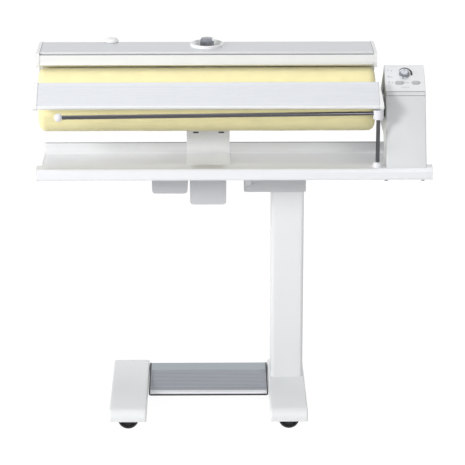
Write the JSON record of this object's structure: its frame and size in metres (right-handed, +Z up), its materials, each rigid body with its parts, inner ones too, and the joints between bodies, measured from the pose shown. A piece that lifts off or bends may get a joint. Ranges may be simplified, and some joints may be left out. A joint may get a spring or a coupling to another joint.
{
  "type": "rotary ironer",
  "caption": "Electric rotary ironing machine for household linen: padded roller, hinged heating shoe under a hood, feeder table, laundry tray, side drive, folding column stand on casters with treadle.",
  "frame": {"origin": "on the floor, under the middle of the overall width and depth", "axes": "+X to the right of the person ironing (towards the drive casing), +Y away from them, +Z up"},
  "size_m": [0.985, 0.38, 0.9679],
  "materials": {
    "white_paint": "satin",
    "white_plastic": "satin",
    "hood_silver": "satin anodised",
    "shoe_metal": "polished",
    "feeder_white": "anodised, fine ribs",
    "cloth": "woven cotton",
    "padding": "felt",
    "chrome": "polished",
    "steel": "brushed",
    "treadle_grey": "ribbed, anodised",
    "dark_plastic": "matt",
    "grey_plastic": "matt",
    "wheel_black": "matt",
    "board_green": "lacquered",
    "dial_silver": "metallised",
    "gear_plastic": "natural",
    "casing_white": "satin",
    "tray_white": "powder coated",
    "alu": "drawn tube"
  },
  "bodies": {
    "stand": {"left_foot": "white_paint", "right_foot": "white_paint", "foot_soles": "dark_plastic", "wheel_mounts": "steel", "column": "white_paint", "cross_beam": "white_paint", "treadle_rod": "steel", "pedal_switch": "dark_plastic", "fold_bracket": "white_paint", "fold_pin": "steel", "stop_pad": "dark_plastic"},
    "treadle": {"treadle": "treadle_grey", "treadle_ends": "dark_plastic"},
    "plunger": {"switch_plunger": "dark_plastic"},
    "head": {"carrier": "white_paint", "tray": "tray_white", "tray_ends": "white_plastic", "side_frame": "white_paint", "bearing_housing": "steel", "gearbox": "grey_plastic", "drive_motor": "steel", "drive_casing": "casing_white", "pedestal_cover": "casing_white", "control_panel": "white_plastic", "circuit_board": "board_green", "feeder_table": "feeder_white", "feeder_ends": "white_plastic", "feeder_bracket": "dark_plastic", "post_foot": "grey_plastic", "arm_cover": "white_paint", "lift_cover": "white_paint", "lift_motor_cover": "white_paint", "lift_motor": "steel", "arm_pin": "steel"},
    "roller": {"roller_cloth": "cloth", "roller_padding": "padding", "roller_tube": "alu", "roller_discs": "steel", "roller_shaft": "steel", "roller_gear": "gear_plastic"},
    "pinion": {"motor_pinion": "steel"},
    "press": {"press_arm": "white_paint", "heating_shoe": "shoe_metal", "hood": "hood_silver", "hood_ends": "white_plastic", "heating_rods": "steel", "water_tank": "grey_plastic", "filler_bowl": "white_plastic", "vent_cap": "white_plastic"},
    "guard": {"finger_guard": "white_plastic"},
    "filler": {"filler_cap": "chrome"},
    "rail": {"laundry_rail": "chrome", "rail_elbow": "white_plastic"},
    "timer_dial": {"dial": "dial_silver"},
    "start_key": {"start_button": "white_plastic"},
    "steam_key": {"steam_button": "white_plastic"},
    "roller_front_left": {"wheel_front_left": "wheel_black"},
    "roller_front_right": {"wheel_front_right": "wheel_black"},
    "roller_rear_left": {"wheel_rear_left": "wheel_black"},
    "roller_rear_right": {"wheel_rear_right": "wheel_black"}
  },
  "joints": [
    {"name": "fold", "type": "hinge", "parent": "stand", "child": "head", "pos_m": [0.039, 0.092, 0.597], "axis": [0, -1, 0], "range_deg": [0, 90]},
    {"name": "roller_spin", "type": "hinge", "parent": "head", "child": "roller", "pos_m": [0, 0, 0.8265], "axis": [1, 0, 0], "continuous": true},
    {"name": "pinion_spin", "type": "hinge", "parent": "head", "child": "pinion", "pos_m": [0.424, 0.04081, 0.7832], "axis": [1, 0, 0], "continuous": true},
    {"name": "press", "type": "hinge", "parent": "head", "child": "press", "pos_m": [-0.063, 0.161, 0.612], "axis": [1, 0, 0], "range_deg": [0, 3]},
    {"name": "guard_tip", "type": "hinge", "parent": "press", "child": "guard", "pos_m": [-0.065, -0.0185, 0.943], "axis": [1, 0, 0], "range_deg": [0, 4], "stiffness_Nm_per_rad": 2, "springref_deg": -5.73},
    {"name": "cap_lift", "type": "slide", "parent": "press", "child": "filler", "axis": [0, 0, 1], "range_m": [0, 0.04]},
    {"name": "rail_swing", "type": "hinge", "parent": "head", "child": "rail", "pos_m": [0.356, -0.127, 0.69], "axis": [0, 0, 1], "range_deg": [-2.5, 90]},
    {"name": "dial_turn", "type": "hinge", "parent": "head", "child": "timer_dial", "pos_m": [0.4265, -0.02323, 0.89375], "axis": [0, -0.6177, 0.7864], "range_deg": [-150, 150]},
    {"name": "start_push", "type": "slide", "parent": "head", "child": "start_key", "axis": [0, 0.6177, -0.7864], "range_m": [0, 0.0015], "stiffness_N_per_m": 800, "springref_m": -0.001},
    {"name": "steam_push", "type": "slide", "parent": "head", "child": "steam_key", "axis": [0, 0.6177, -0.7864], "range_m": [0, 0.0015], "stiffness_N_per_m": 800, "springref_m": -0.001},
    {"name": "treadle_push", "type": "hinge", "parent": "stand", "child": "treadle", "pos_m": [-0.064, 0.152, 0.044], "axis": [1, 0, 0], "range_deg": [0, 4], "stiffness_Nm_per_rad": 20, "springref_deg": -5.73},
    {"name": "plunger_push", "type": "slide", "parent": "stand", "child": "plunger", "axis": [0, 0, -1], "range_m": [0, 0.002]},
    {"name": "front_left_roll", "type": "hinge", "parent": "stand", "child": "roller_front_left", "pos_m": [-0.269, -0.15, 0.026], "axis": [0, 1, 0], "continuous": true},
    {"name": "front_right_roll", "type": "hinge", "parent": "stand", "child": "roller_front_right", "pos_m": [0.141, -0.15, 0.026], "axis": [0, 1, 0], "continuous": true},
    {"name": "rear_left_roll", "type": "hinge", "parent": "stand", "child": "roller_rear_left", "pos_m": [-0.269, 0.15, 0.026], "axis": [0, 1, 0], "continuous": true},
    {"name": "rear_right_roll", "type": "hinge", "parent": "stand", "child": "roller_rear_right", "pos_m": [0.141, 0.15, 0.026], "axis": [0, 1, 0], "continuous": true}
  ],
  "couplings": [
    {"joint": "pinion_spin", "follows": "roller_spin", "ratio": -3.25},
    {"joint": "plunger_push", "follows": "treadle_push", "m_per_rad": 0.024}
  ]
}
